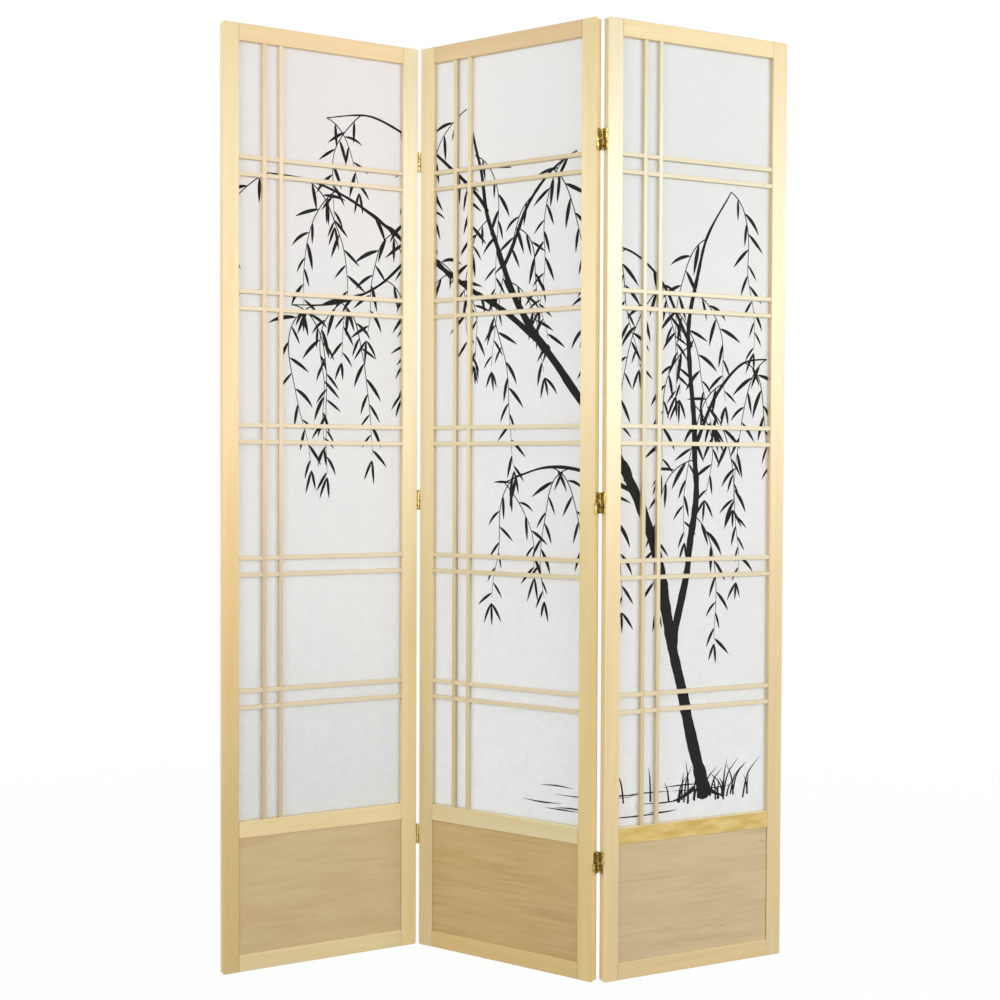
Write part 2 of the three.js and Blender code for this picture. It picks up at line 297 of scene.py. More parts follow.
def spruce_grain(tree, vector, shader, pale, knots=0.0):
    """Faint growth lines along the board, finer fibres and slow shades, all wandering a
    little. Rings lie 2 to 3 mm apart in the wood, drawn up to 9 mm apart so that they show."""
    slow = grain_noise(tree, vector, wander_scale, Detail=2.0)
    bent = [(0, slow["Color"]), (1, wander), (2, vector)]
    bent = add_node(tree, "ShaderNodeVectorMath", bent, operation="MULTIPLY_ADD").outputs[0]
    depth, fine = None, None
    for scale, share in ((ring_scale, 0.17), (fibre_scale, 0.13), (shade_scale, 0.36)):
        line = grain_noise(tree, bent, scale, Detail=1.5, Roughness=0.5)[0]
        if scale == fibre_scale:
            fine = line
        line = [("Value", line), ("From Min", 0.35), ("From Max", 0.68), ("To Max", share)]
        line = add_node(tree, "ShaderNodeMapRange", line).outputs[0]
        if depth is None:
            depth = line
        else:
            both = [(0, depth), (1, line)]
            depth = add_node(tree, "ShaderNodeMath", both, operation="ADD").outputs[0]
    tone = [("Factor", depth), (6, (1, 1, 1, 1)), (7, darkest_grain)]
    tone = add_node(tree, "ShaderNodeMix", tone, data_type="RGBA").outputs[2]
    tone = [(0, tone), (1, pale)]
    tone = add_node(tree, "ShaderNodeVectorMath", tone, operation="MULTIPLY").outputs[0]
    if knots:
        tone = pin_knots(tree, vector, tone, knots)
    tree.links.new(tone, shader.inputs["Base Color"])
    relief = [("Height", fine), ("Strength", 0.12), ("Distance", 0.0003)]
    relief = add_node(tree, "ShaderNodeBump", relief).outputs[0]
    tree.links.new(relief, shader.inputs["Normal"])
    satin = [("Value", fine), ("To Min", 0.42), ("To Max", 0.58)]
    satin = add_node(tree, "ShaderNodeMapRange", satin).outputs[0]
    tree.links.new(satin, shader.inputs["Roughness"])


def spruce_board(name, place, along_x, seed, tones, knots=0.0):
    """Planed spruce under clear satin lacquer: pale cream with faint amber lines along the
    board, and a soft haze where a window is mirrored."""
    finish = {"IOR": 1.5, "Coat_Weight": 1.0, "Coat_Roughness": 0.32, "Coat_IOR": 1.55}
    material, tree, shader = new_material(name, **finish)
    drawn = random.Random(seed)
    offset = (drawn.uniform(-0.02, 0.02), drawn.uniform(-0.01, 0.02), drawn.uniform(0, 9))
    vector = panel_vector(tree, place, along_x, offset)
    # The board's tones drift with height as painted light and shade.
    spruce_grain(tree, vector, shader, tone_with_painted_shade(tree, tones), knots)
    return material


def dress(node, material):
    """Gives a frame piece its material."""
    slots = frame["nodes"][node].data.materials
    slots.clear()
    slots.append(material)


boards = ("left_stile", "right_stile", "top_rail", "middle_rail", "bottom_rail")
knotty_board = "left_panel_right_stile"
knotty_share = 0.16
panel_seeds = 11
# A stile's three tones run from its foot over its middle to its head. The drift is painted light and
# shade, darker at the foot of the left and centre panels' left stiles.
wood_tones = {
    "left": (
        "#D1B678 #E8C788 #E6D19D", "#E7D198 #E5CF96 #E7D6A9", "#E8CB95", "#E8D29F", "#E2CF9D",
    ),
    "centre": (
        "#DEC998 #E7D19E #E9D5A3", "#E6CF8C #E0C98A #E5D092", "#D7BA84", "#E2D2A3", "#DABD79",
    ),
    "right": (
        "#E6CF9C #E8D09A #E2D4A9", "#E1CB98 #E1C994 #E0C894", "#E2CB91", "#EDDDB4", "#DEC691",
    ),
}
for number, panel in enumerate(panels):
    for count, (board, tones) in enumerate(zip(boards, wood_tones[panel])):
        node = f"{panel}_panel_{board}"
        wood = spruce_board(
            f"lacquered spruce {panel} {board}", places[panel], "rail" in board,
            panel_seeds * number + count, tones, knotty_share if node == knotty_board else 0.0,
        )
        dress(node, wood)


def varnish_front(material, place):
    """Golden varnish on the front face alone: it has soaked in unevenly, deep amber in
    patches 20 mm high and 65 mm long and paler between, and the ledge above stays bare."""
    tree = material.node_tree
    shader = tree.nodes["Principled BSDF"]
    bare = shader.inputs["Base Color"].links[0].from_socket
    log = panel_vector(tree, place, True, (0, 0, 0.6))
    soaked = [("Value", grain_noise(tree, log, (48, 48, 15), Detail=4.0)[0])]
    soaked += [("From Min", 0.36), ("From Max", 0.64)]
    soaked = add_node(tree, "ShaderNodeMapRange", soaked).outputs[0]
    varnish = [("Factor", soaked), (6, linear("#DEC173")), (7, linear("#C6A438"))]
    varnish = add_node(tree, "ShaderNodeMix", varnish, data_type="RGBA").outputs[2]
    facing = add_node(tree, "ShaderNodeTexCoord").outputs["Normal"]
    outward = [(0, facing), (1, place.to_3x3() @ Vector((0, -1, 0)))]
    outward = add_node(tree, "ShaderNodeVectorMath", outward, operation="DOT_PRODUCT")
    front = [("Value", outward.outputs["Value"]), ("From Min", 0.80), ("From Max", 0.95)]
    front = add_node(tree, "ShaderNodeMapRange", front).outputs[0]
    tone = [("Factor", front), (6, bare), (7, varnish)]
    tone = add_node(tree, "ShaderNodeMix", tone, data_type="RGBA").outputs[2]
    tree.links.new(tone, shader.inputs["Base Color"])


# Only the right panel's middle rail was varnished so.
varnish_front(bpy.data.materials["lacquered spruce right middle_rail"], places["right"])

# ---- Kick boards ---------------------------------------------------------------------
# A 4 mm plywood board closes the foot of each panel, held in grooves all round. Its face
# veneer lies across, is tanner than the frame, and has fine wavy streaks and small flecks.

wave_scale = (12, 12, 2.5)
wave_bend = (0.020, 0, 0)
streak_scale = (120, 120, 9)
calm_scale = (17, 17, 5)
fleck_scale = (120, 120, 22)


def veneer_plywood(name, vector, tones):
    """Sliced veneer under thin matt lacquer: tan, with wavy darker streaks that come and go,
    stained patches and short brown flecks. The pores' streaks are under 1 mm apart in the
    veneer, drawn 8 mm apart so that they show."""
    finish = {"IOR": 1.5, "Coat_Weight": 0.25, "Coat_Roughness": 0.4, "Coat_IOR": 1.5}
    material, tree, shader = new_material(name, **finish)
    vector = panel_vector(tree, *vector)
    pale, dark, stain = [linear(tone) for tone in tones]
    wave = grain_noise(tree, vector, wave_scale, Detail=2.0)
    bent = [(0, wave["Color"]), (1, wave_bend), (2, vector)]
    bent = add_node(tree, "ShaderNodeVectorMath", bent, operation="MULTIPLY_ADD").outputs[0]
    streak = grain_noise(tree, bent, streak_scale, Detail=5.0, Roughness=0.62)[0]
    share = [("Value", streak), ("From Min", 0.36), ("From Max", 0.80)]
    share = add_node(tree, "ShaderNodeMapRange", share).outputs[0]
    strong = [("Value", grain_noise(tree, vector, calm_scale, Detail=3.0)[0])]
    strong += [("From Min", 0.38), ("From Max", 0.62), ("To Min", 0.35)]
    strong = add_node(tree, "ShaderNodeMapRange", strong).outputs[0]
    share = [(0, share), (1, strong)]
    share = add_node(tree, "ShaderNodeMath", share, operation="MULTIPLY").outputs[0]
    tone = [("Factor", share), (6, pale), (7, dark)]
    tone = add_node(tree, "ShaderNodeMix", tone, data_type="RGBA").outputs[2]
    patch = [("Value", wave[0]), ("From Min", 0.48), ("From Max", 0.72), ("To Max", 0.45)]
    patch = add_node(tree, "ShaderNodeMapRange", patch).outputs[0]
    tone = [("Factor", patch), (6, tone), (7, stain)]
    tone = add_node(tree, "ShaderNodeMix", tone, data_type="RGBA").outputs[2]
    fleck = [("Value", grain_noise(tree, bent, fleck_scale, Detail=1.0)[0])]
    fleck += [("From Min", 0.74), ("From Max", 0.90), ("To Max", 0.5)]
    fleck = add_node(tree, "ShaderNodeMapRange", fleck).outputs[0]
    tone = [("Factor", fleck), (6, tone), (7, linear("#8C6A40"))]
    tone = add_node(tree, "ShaderNodeMix", tone, data_type="RGBA").outputs[2]
    tree.links.new(tone, shader.inputs["Base Color"])
    relief = [("Height", streak), ("Strength", 0.1), ("Distance", 0.0003)]
    relief = add_node(tree, "ShaderNodeBump", relief).outputs[0]
    tree.links.new(relief, shader.inputs["Normal"])
    satin = [("Value", streak), ("To Min", 0.45), ("To Max", 0.65)]
    satin = add_node(tree, "ShaderNodeMapRange", satin).outputs[0]
    tree.links.new(satin, shader.inputs["Roughness"])
    return material


veneer_tones = {
    "left": ("#CCB68A", "#BCA375", "#B9925D"),
    "centre": ("#CDB078", "#AE8E57", "#B58F48"),
    "right": ("#D0BC94", "#BBA376", "#B59B6C"),
}
veneer_step = 1.7
for number, panel in enumerate(panels):
    cut = (places[panel], True, (0, 0, veneer_step * number))
    plywood = veneer_plywood(f"sliced veneer plywood {panel}", cut, veneer_tones[panel])
    dress(f"{panel}_panel_kick_board", plywood)

# ---- Laths ---------------------------------------------------------------------------
# Ten crossbars in five pairs and one pair of uprights, 9.5 by 10.5 mm, make each panel's
# lattice. They are cross-lapped: uprights run through in front, crossbars behind.

lath_width = 0.0095
lath_front = 0.0015
lath_back = 0.012
lath_middle = (lath_front + lath_back) / 2
lath_arris = 0.0008
lap_room = 0.00005
lattice_low, lattice_high = 0.342, 2.096
opening_left, opening_right = stile_width, panel_width - stile_width
seat_gap = 0.0003
crossbar_pairs = 5
crossbar_spacing = 0.038
pair_height = crossbar_spacing + lath_width
pane_height = (lattice_high - lattice_low - crossbar_pairs * pair_height) / (crossbar_pairs + 1)
crossbar_pitch = pane_height + pair_height
first_crossbar = lattice_low + pane_height
uprights_at = (0.093, 0.1325)
uprights_spacing = uprights_at[1] - uprights_at[0]


def lath_mesh(name, start, end, laps, upright):
    """A lath with its laps cut, at the back of an upright or the front of a crossbar. Its
    outline is drawn along the lath and then given its width."""
    cut_face = lath_back if upright else lath_front
    notches = []
    for low, high in laps:
        low, high = low - lap_room, high + lap_room
        notches += [(low, cut_face), (low, lath_middle), (high, lath_middle), (high, cut_face)]
    outline = [(start, lath_front)]
    if not upright:
        outline += notches
    outline += [(end, lath_front), (end, lath_back)]
    if upright:
        outline += reversed(notches)
    outline.append((start, lath_back))
    along, across = Vector((1, 0, 0)), Vector((0, 0, 1))
    if upright:
        along, across = across, along
    shape = bmesh.new()
    spots = [a * along + Vector((0, y, 0)) for a, y in outline]
    face = shape.faces.new([shape.verts.new(spot) for spot in spots])
    grown = bmesh.ops.extrude_face_region(shape, geom=[face])["geom"]
    grown = [part for part in grown if isinstance(part, bmesh.types.BMVert)]
    bmesh.ops.translate(shape, vec=lath_width * across, verts=grown)
    bmesh.ops.recalc_face_normals(shape, faces=shape.faces)
    arrises = []
    for edge in shape.edges:
        near, far = [vertex.co for vertex in edge.verts]
        lengthwise = abs((near - far).normalized().dot(along)) > 0.99
        if lengthwise and abs(near.y - lath_middle) > lath_arris:
            arrises.append(edge)
    bmesh.ops.bevel(
        shape, geom=arrises, offset=lath_arris, segments=3, affect="EDGES", profile=0.5,
        clamp_overlap=True,
    )
    mesh = bpy.data.meshes.new(name)
    shape.to_mesh(mesh)
    shape.free()
    return mesh


def repeat_tree(name, upright):
    """Repeats a piece in pairs along the frame and stores each one's grain coordinates.
    Each is turned by its own share of the given turn, which is none for the laths."""
    tree = bpy.data.node_groups.new(name, "GeometryNodeTree")
    socket = tree.interface.new_socket
    socket("Piece", in_out="INPUT", socket_type="NodeSocketGeometry")
    for label in ("Pairs", "Seed"):
        socket(label, in_out="INPUT", socket_type="NodeSocketInt")
    for label in ("Pair Pitch", "Spacing"):
        socket(label, in_out="INPUT", socket_type="NodeSocketFloat")
    socket("Turn", in_out="INPUT", socket_type="NodeSocketVector")
    socket("Material", in_out="INPUT", socket_type="NodeSocketMaterial")
    socket("Pieces", in_out="OUTPUT", socket_type="NodeSocketGeometry")
    given = add_node(tree, "NodeGroupInput").outputs
    where = add_node(tree, "GeometryNodeInputPosition").outputs[0]
    axes = add_node(tree, "ShaderNodeSeparateXYZ", [(0, where)]).outputs
    order = (0, 1, 2) if upright else (2, 1, 0)
    grain = [(slot, axes[axis]) for slot, axis in enumerate(order)]
    grain = add_node(tree, "ShaderNodeCombineXYZ", grain).outputs[0]
    piece = [("Geometry", given["Piece"]), ("Name", "grain"), ("Value", grain)]
    piece = add_node(
        tree, "GeometryNodeStoreNamedAttribute", piece, data_type="FLOAT_VECTOR", domain="POINT"
    ).outputs[0]
    count = [(0, given["Pairs"]), (1, 2.0)]
    count = add_node(tree, "ShaderNodeMath", count, operation="MULTIPLY").outputs[0]
    number = add_node(tree, "GeometryNodeInputIndex").outputs[0]
    half = add_node(tree, "ShaderNodeMath", [(0, number), (1, 2.0)], operation="DIVIDE")
    pair = add_node(tree, "ShaderNodeMath", [(0, half.outputs[0])], operation="FLOOR").outputs[0]
    second = add_node(tree, "ShaderNodeMath", [(0, number), (1, 2.0)], operation="MODULO").outputs[0]
    step = [(0, second), (1, given["Spacing"])]
    step = add_node(tree, "ShaderNodeMath", step, operation="MULTIPLY").outputs[0]
    reach = [(0, pair), (1, given["Pair Pitch"]), (2, step)]
    reach = add_node(tree, "ShaderNodeMath", reach, operation="MULTIPLY_ADD").outputs[0]
    spot = add_node(tree, "ShaderNodeCombineXYZ", [("X" if upright else "Z", reach)]).outputs[0]
    points = add_node(tree, "GeometryNodePoints", [("Count", count), ("Position", spot)])
    chance = [("ID", number), ("Seed", given["Seed"])]
    chance = add_node(tree, "FunctionNodeRandomValue", chance, data_type="FLOAT").outputs[1]
    turn = [(0, given["Turn"]), (1, chance)]
    turn = add_node(tree, "ShaderNodeVectorMath", turn, operation="MULTIPLY").outputs[0]
    row = [("Points", points.outputs[0]), ("Instance", piece), ("Rotation", turn)]
    row = add_node(tree, "GeometryNodeInstanceOnPoints", row).outputs[0]
    for label, value in (("own", chance), ("second", second)):
        row = [("Geometry", row), ("Name", label), ("Value", value)]
        row = add_node(
            tree, "GeometryNodeStoreNamedAttribute", row, data_type="FLOAT", domain="INSTANCE"
        ).outputs[0]
    solid = add_node(tree, "GeometryNodeRealizeInstances", [(0, row)]).outputs[0]
    done = [("Geometry", solid), ("Material", given["Material"])]
    done = add_node(tree, "GeometryNodeSetMaterial", done).outputs[0]
    add_node(tree, "NodeGroupOutput", [(0, done)])
    return tree


def grown_mesh(source, tree, sizes, name):
    """Runs a tree on a mesh and keeps what it makes as a plain mesh of the piece."""
    maker = bpy.data.objects.new(f"{name}.maker", source)
    scene.collection.objects.link(maker)
    modifier = maker.modifiers.new("repeat", "NODES")
    modifier.node_group = tree
    for item in tree.interface.items_tree:
        if item.in_out == "INPUT" and item.name in sizes:
            modifier[item.identifier] = sizes[item.name]
    evaluated = maker.evaluated_get(bpy.context.evaluated_depsgraph_get())
    mesh = bpy.data.meshes.new_from_object(evaluated)
    mesh.name = name
    bpy.data.objects.remove(maker)
    return mesh


# Heights between which the laths' tones drift, as painted light and shade over the panel's height.
upright_shade_heights = ((0.80, 1.20), (1.30, 1.70))
crossbar_shade_heights = ((0.50, 0.90), (1.30, 1.70))
first_upright = (0.97, 0.95, 0.91, 1)
second_upright = (1.03, 1.05, 1.09, 1)
own_start = (0.05, 0.03, 17.0)


def lath_wood(name, tones, upright):
    """The frame's lacquered spruce, with its own grain in each lath. The second upright of a
    pair is the paler one."""
    finish = {"IOR": 1.5, "Coat_Weight": 1.0, "Coat_Roughness": 0.42, "Coat_IOR": 1.55}
    material, tree, shader = new_material(name, **finish)
    grain, own, second = [
        add_node(tree, "ShaderNodeAttribute", attribute_name=label).outputs
        for label in ("grain", "own", "second")
    ]
    shift = add_node(tree, "ShaderNodeCombineXYZ", [(slot, own["Fac"]) for slot in range(3)])
    shift = [(0, shift.outputs[0]), (1, own_start), (2, grain["Vector"])]
    shift = add_node(tree, "ShaderNodeVectorMath", shift, operation="MULTIPLY_ADD").outputs[0]
    # The tone drifts with height as painted light and shade.
    if upright:
        pale = tone_with_painted_shade(tree, tones, upright_shade_heights)
        pair = [("Factor", second["Fac"]), (6, first_upright), (7, second_upright)]
        pair = add_node(tree, "ShaderNodeMix", pair, data_type="RGBA").outputs[2]
        pair = [(0, pale), (1, pair)]
        pale = add_node(tree, "ShaderNodeVectorMath", pair, operation="MULTIPLY").outputs[0]
    else:
        pale = tone_with_painted_shade(tree, tones, crossbar_shade_heights)
    spruce_grain(tree, shift, shader, pale)
    return material


# Each lath's three tones run from foot over middle to head. The drift is painted light and shade:
# the uprights are darker at the foot.
upright_tones = {
    "left": "#CAB48F #DCC49C #E1CAA2",
    "centre": "#D0BE95 #D9C79C #D5C498",
    "right": "#D4C398 #D7C9A2 #D8CDAB",
}
crossbar_tones = {
    "left": "#D8CAA8 #D9C9A8 #D8C6A4",
    "centre": "#E1D1B0 #D2C49A #CCBB90",
    "right": "#E3D5B3 #D6CAA5 #D0C5A0",
}

rise = (lattice_low + seat_gap, lattice_high - seat_gap)
run = (opening_left + seat_gap, opening_right - seat_gap)
crossings = []
for pair in range(crossbar_pairs):
    lower = first_crossbar + pair * crossbar_pitch
    crossings += [(low, low + lath_width) for low in (lower, lower + crossbar_spacing)]
upright_laps = [(left, left + lath_width) for left in uprights_at]
upright_shape = lath_mesh("upright", *rise, crossings, True)
crossbar_shape = lath_mesh("crossbar", *run, upright_laps, False)
upright_tree = repeat_tree("uprights in pairs", True)
crossbar_tree = repeat_tree("crossbars in pairs", False)

uprights_seed = 3
crossbars_seed = 13
for number, panel in enumerate(panels):
    sizes = {"Pairs": 1, "Pair Pitch": 0.0, "Spacing": uprights_spacing}
    sizes["Seed"] = uprights_seed + number
    wood = lath_wood(f"lacquered spruce {panel} uprights", upright_tones[panel], True)
    sizes["Material"] = wood
    uprights = grown_mesh(upright_shape, upright_tree, sizes, f"{panel}_uprights")
    uprights.transform(Matrix.Translation((uprights_at[0], 0, 0)))
    sizes = {"Pairs": crossbar_pairs, "Pair Pitch": crossbar_pitch, "Spacing": crossbar_spacing}
    sizes["Seed"] = crossbars_seed + number
    wood = lath_wood(f"lacquered spruce {panel} crossbars", crossbar_tones[panel], False)
    sizes["Material"] = wood
    crossbars = grown_mesh(crossbar_shape, crossbar_tree, sizes, f"{panel}_crossbars")
    crossbars.transform(Matrix.Translation((0, 0, first_crossbar)))
    for mesh in (uprights, crossbars):
        mesh.transform(places[panel])
        piece = bpy.data.objects.new(mesh.name, mesh)
        scene.collection.objects.link(piece)
        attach(piece, f"{panel}_panel")
        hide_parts(f"{panel}_panel_lattice")

# ---- Paper ---------------------------------------------------------------------------
# A sheet of white rice paper is glued behind each lattice, in a rebate round the opening.
# It is drawn tight but cockles by a few tenths of a millimetre between the laths.

paper_front = 0.0123
paper_thickness = 0.0003
paper_margin = 0.0057
cockle_depth = 0.0003
cockle_reach = 0.030
cockles_across, cockles_up = 9, 6
cockle_slice = 3.1
paper_cell = 0.010


def paper_sag(x, z):
    """How far the sheet bows back between the laths that hold it."""
    held = min(x - opening_left, opening_right - x, z - lattice_low, lattice_high - z)
    for low, high in upright_laps:
        held = min(held, max(low - x, x - high, 0))
    for low, high in crossings:
        held = min(held, max(low - z, z - high, 0))
    free = min(max(held, 0) / cockle_reach, 1)
    spot = Vector((x * cockles_across, cockle_slice, z * cockles_up))
    swell = 0.5 + 0.5 * noise.noise(spot)
    return cockle_depth * free * free * (3 - 2 * free) * swell


def span(low, high, cell):
    """Evenly spaced marks from low to high."""
    count = math.ceil((high - low) / cell)
    return [low + (high - low) * step / count for step in range(count + 1)]


def paper_mesh(name):
    """The sheet's front and back faces, closed round the edge."""
    across = span(opening_left - paper_margin, opening_right + paper_margin, paper_cell)
    up = span(lattice_low - paper_margin, lattice_high + paper_margin, paper_cell)
    shape = bmesh.new()
    sides = []
    for depth in (paper_front, paper_front + paper_thickness):
        spots = [[(x, depth + paper_sag(x, z), z) for x in across] for z in up]
        sides.append([[shape.verts.new(spot) for spot in row] for row in spots])
    for rows in sides:
        for low, high in zip(rows, rows[1:]):
            for i in range(len(across) - 1):
                shape.faces.new((low[i], low[i + 1], high[i + 1], high[i]))
    rims = []
    for rows in sides:
        rims.append(
            rows[0] + [row[-1] for row in rows[1:]] + rows[-1][-2::-1]
            + [row[0] for row in rows[-2:0:-1]]
        )
    for i in range(len(rims[0])):
        j = (i + 1) % len(rims[0])
        shape.faces.new((rims[0][i], rims[0][j], rims[1][j], rims[1][i]))
    bmesh.ops.recalc_face_normals(shape, faces=shape.faces)
    mesh = bpy.data.meshes.new(name)
    shape.to_mesh(mesh)
    shape.free()
    for face in mesh.polygons:
        face.use_smooth = abs(face.normal.y) > 0.9
    return mesh


cloud_scale = 60.0
foot_clouds, foot_height = 0.032, 0.35
head_clouds, head_height = 0.007, 1.6
glow_share = 0.6


def rice_paper(name, tones):
    """Off-white fibre paper: matt, lit softly from behind, with faint clouds of thicker and
    thinner pulp, 17 mm wide, that show most at the foot, where least light comes through."""
    material, tree, shader = new_material(name, IOR=1.45, Roughness=0.85, Specular_IOR_Level=0.3)
    place = add_node(tree, "ShaderNodeTexCoord").outputs["Object"]
    cloud = [("Vector", place), ("Scale", cloud_scale), ("Detail", 6.0), ("Roughness", 0.75)]
    cloud = add_node(tree, "ShaderNodeTexNoise", cloud).outputs[0]
    share = [("Value", cloud), ("From Min", 0.35), ("From Max", 0.65), ("To Min", -1.0)]
    share = add_node(tree, "ShaderNodeMapRange", share).outputs[0]
    height = add_node(tree, "ShaderNodeSeparateXYZ", [(0, place)]).outputs[2]
    depth = [("Value", height), ("From Min", foot_height), ("From Max", head_height)]
    depth += [("To Min", foot_clouds), ("To Max", head_clouds)]
    depth = add_node(tree, "ShaderNodeMapRange", depth).outputs[0]
    share = [(0, share), (1, depth), (2, 1.0)]
    share = add_node(tree, "ShaderNodeMath", share, operation="MULTIPLY_ADD").outputs[0]
    # The paper's tone drifts with height as painted light and shade.
    tone = [(0, tone_with_painted_shade(tree, tones)), ("Scale", share)]
    tone = add_node(tree, "ShaderNodeVectorMath", tone, operation="SCALE").outputs[0]
    tree.links.new(tone, shader.inputs["Base Color"])
    relief = [("Height", cloud), ("Strength", 0.2), ("Distance", 0.0004)]
    relief = add_node(tree, "ShaderNodeBump", relief).outputs[0]
    tree.links.new(relief, shader.inputs["Normal"])
    glow = add_node(tree, "ShaderNodeBsdfTranslucent", [("Color", tone), ("Normal", relief)])
    both = [(0, glow_share), (1, shader.outputs[0]), (2, glow.outputs[0])]
    both = add_node(tree, "ShaderNodeMixShader", both)
    tree.links.new(both.outputs[0], tree.nodes["Material Output"].inputs["Surface"])
    return material


# Each sheet's three tones run from foot over middle to head. The drift is painted light and shade,
# darker at the foot on the left panel.
paper_tones = {
    "left": "#E4E5E4 #E9E9E8 #EAE8E7",
    "centre": "#EBECEC #EAEAEA #E9E9E8",
    "right": "#EAEBEB #E9E9E9 #E7E8E7",
}
for panel in panels:
    mesh = paper_mesh(f"{panel}_paper")
    mesh.materials.append(rice_paper(f"rice paper {panel}", paper_tones[panel]))
    mesh.transform(places[panel])
    piece = bpy.data.objects.new(mesh.name, mesh)
    scene.collection.objects.link(piece)
    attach(piece, f"{panel}_panel")
    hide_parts(f"{panel}_panel_paper")

# ---- Ink drawing ---------------------------------------------------------------------
# A weeping willow is brushed on the paper in black ink, in one drawing that runs on from
# panel to panel. Every stroke is a film of ink a few hundredths of a millimetre thick.

joint_gap = 0.0065
panel_step = panel_width + joint_gap
brush = random.Random(47)
brush_step = 0.008
finest_stroke = 0.0003
hanging = -math.pi / 2
strokes = []


def flowing(points):
    """Points, each with a width, joined by a smooth curve and spaced evenly."""
    made = []
    for i in range(len(points) - 1):
        a, b, c, d = [points[max(0, min(len(points) - 1, i + k))] for k in (-1, 0, 1, 2)]
        length = math.dist(b[:2], c[:2])
        count = max(1, round(length / brush_step))
        for j in range(count):
            t = j / count
            made.append(tuple(
                0.5 * (2 * q + (r - p) * t + (2 * p - 5 * q + 4 * r - s) * t * t
                       + (3 * q - p - 3 * r + s) * t ** 3)
                for p, q, r, s in zip(a, b, c, d)
            ))
    made.append(points[-1])
    return made


def stroke(line):
    """Adds one brush stroke along a line of (across, up, width)."""
    pairs = []
    for i, (x, z, width) in enumerate(line):
        before, after = line[max(0, i - 1)], line[min(len(line) - 1, i + 1)]
        ahead = Vector((after[0] - before[0], after[1] - before[1])).normalized()
        side = Vector((-ahead.y, ahead.x)) * max(width, finest_stroke) / 2
        pairs.append(((x + side.x, z + side.y), (x - side.x, z - side.y)))
    strokes.append(pairs)


def brushed(points, ragged=0.06, sway=0.0):
    """A stroke whose width and course waver, as a brush's do."""
    phase = brush.uniform(0, 50)
    wavered = []
    for i, (x, z, width) in enumerate(flowing(points)):
        waver = 1 + 2 * ragged * noise.noise(Vector((i * 0.35, phase, 0)))
        x += sway * noise.noise(Vector((i * 0.06, phase, 7)))
        wavered.append((x, z, width * waver))
    stroke(wavered)
    return wavered


leaf_points = 10
leaf_lengths = (0.046, 0.076)
leaf_slimness = 0.135
tip_leaf_lengths, tip_leaf_width = (0.040, 0.060), 0.0065
twig_step = 0.012
twig_width = 0.0028


def leaf(x, z, heading, length, width):
    """A lance-shaped leaf that droops, laid down in one press of the brush."""
    droop = brush.uniform(0.1, 0.7) * (hanging - heading)
    step = length / (leaf_points - 1)
    line = []
    for i in range(leaf_points):
        t = i / (leaf_points - 1)
        full = math.sin(math.pi * t ** 0.8) ** 0.8 if 0 < t < 1 else 0
        line.append((x, z, width * full))
        x += step * math.cos(heading + droop * t)
        z += step * math.sin(heading + droop * t)
    stroke(line)


def twig(x, z, side, length):
    """A hanging twig: it springs outwards, falls over and carries alternate leaves."""
    heading = hanging + side * brush.uniform(0.9, 1.7)
    steps = round(length / twig_step)
    line = []
    sway = brush.uniform(0, 40)
    until_leaf = 2
    hand = side
    for i in range(steps):
        t = i / steps
        line.append((x, z, twig_width * (1 - 0.7 * t)))
        heading += (hanging - heading) * 0.14 + 0.12 * noise.noise(Vector((i * 0.14, sway, 1)))
        x += twig_step * math.cos(heading)
        z += twig_step * math.sin(heading)
        until_leaf -= 1
        if until_leaf <= 0:
            hand = -hand
            size = brush.uniform(*leaf_lengths) * (1 - 0.25 * t)
            leaf(x, z, heading + hand * brush.uniform(0.35, 1.0), size, size * leaf_slimness)
            until_leaf = brush.choice((2, 3, 3))
    for spread in (-0.45, 0.1):
        leaf(x, z, heading + spread, brush.uniform(*tip_leaf_lengths), tip_leaf_width)
    stroke(line)


# Each line is a run of points: how far across from the left panel's edge, how far up, width.
trunk = [
    (1.226, 0.384, 0.012), (1.224, 0.392, 0.036), (1.216, 0.44, 0.032), (1.196, 0.55, 0.028),
    (1.150, 0.74, 0.027), (1.112, 0.90, 0.026), (1.060, 1.05, 0.024), (0.985, 1.19, 0.022),
    (0.900, 1.32, 0.020), (0.805, 1.44, 0.017), (0.725, 1.57, 0.014), (0.668, 1.72, 0.010),
    (0.628, 1.87, 0.007), (0.605, 1.98, 0.003),
]
